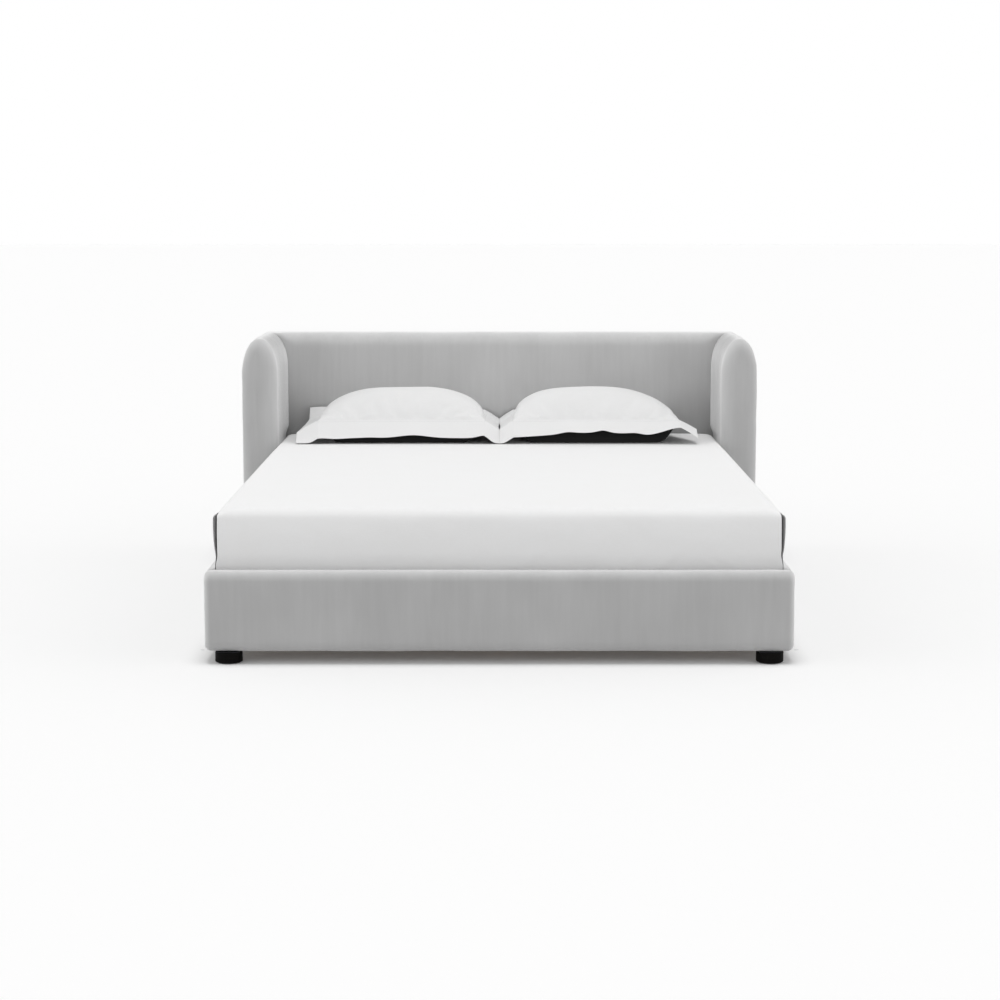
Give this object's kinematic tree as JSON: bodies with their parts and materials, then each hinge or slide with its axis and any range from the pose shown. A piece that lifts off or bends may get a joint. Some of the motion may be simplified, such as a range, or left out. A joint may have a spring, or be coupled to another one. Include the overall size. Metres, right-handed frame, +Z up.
{
  "type": "upholstered bed",
  "caption": "Low velvet-upholstered double bed: padded headboard wrapping into arched wings, padded rails on round feet, slatted base, sheeted mattress and flanged pillows.",
  "frame": {"origin": "on the floor, at the middle of the whole bed's footprint", "axes": "+Z is up, +Y runs from the foot end to the headboard, +X is to the right seen from the foot end"},
  "size_m": [1.756, 2.215, 0.771],
  "materials": {
    "velvet": "matte",
    "foam": "matte",
    "pine": "matte",
    "plywood": "matte",
    "black_wood": "satin",
    "felt": "matte",
    "glide_plastic": "matte",
    "zinc_steel": "satin",
    "webbing": "matte",
    "ticking": "matte",
    "sheet_cotton": "matte",
    "sham_cotton": "matte",
    "filling": "matte"
  },
  "bodies": {
    "bed": {"base_screws": "zinc_steel", "centre_leg_glides": "glide_plastic", "centre_legs": "pine", "centre_rail": "pine", "centre_rail_saddles": "zinc_steel", "corner_brackets": "zinc_steel", "foot_inserts": "zinc_steel", "foot_pads": "felt", "foot_plates": "zinc_steel", "foot_studs": "zinc_steel", "front_left_foot": "black_wood", "front_rail_board": "plywood", "front_rail_cover": "velvet", "front_rail_foam": "foam", "front_right_foot": "black_wood", "headboard_back_panel": "velvet", "headboard_bottom_rail": "pine", "headboard_cover": "velvet", "headboard_foam": "foam", "headboard_front_board": "plywood", "headboard_middle_rail": "pine", "headboard_top_rail": "pine", "joining_plates": "zinc_steel", "left_headboard_post": "pine", "left_rail_board": "plywood", "left_rail_cover": "velvet", "left_rail_foam": "foam", "left_rail_ledger": "pine", "left_wing_cover": "velvet", "left_wing_foam": "foam", "left_wing_inner_board": "plywood", "left_wing_ledger": "pine", "left_wing_outer_board": "plywood", "left_wing_timbers": "pine", "rail_bolts": "zinc_steel", "rear_left_foot": "black_wood", "rear_right_foot": "black_wood", "right_headboard_post": "pine", "right_rail_board": "plywood", "right_rail_cover": "velvet", "right_rail_foam": "foam", "right_rail_ledger": "pine", "right_wing_cover": "velvet", "right_wing_foam": "foam", "right_wing_inner_board": "plywood", "right_wing_ledger": "pine", "right_wing_outer_board": "plywood", "right_wing_timbers": "pine", "saddle_screws": "zinc_steel", "slat_straps": "webbing", "slats": "pine", "wing_bolts": "zinc_steel"},
    "mattress_set": {"fitted_sheet": "sheet_cotton", "mattress_core": "foam", "mattress_cover": "ticking", "mattress_underside": "ticking"},
    "left_pillow_set": {"left_pillow": "filling", "left_sham": "sham_cotton"},
    "right_pillow_set": {"right_pillow": "filling", "right_sham": "sham_cotton"}
  },
  "joints": [
    {"name": "mattress_lift", "type": "slide", "parent": "bed", "child": "mattress_set", "axis": [0, 0, 1], "range_m": [0, 0.62]},
    {"name": "left_pillow_lift", "type": "slide", "parent": "mattress_set", "child": "left_pillow_set", "axis": [0, 0, 1], "range_m": [0, 0.4]},
    {"name": "right_pillow_lift", "type": "slide", "parent": "mattress_set", "child": "right_pillow_set", "axis": [0, 0, 1], "range_m": [0, 0.4]}
  ]
}
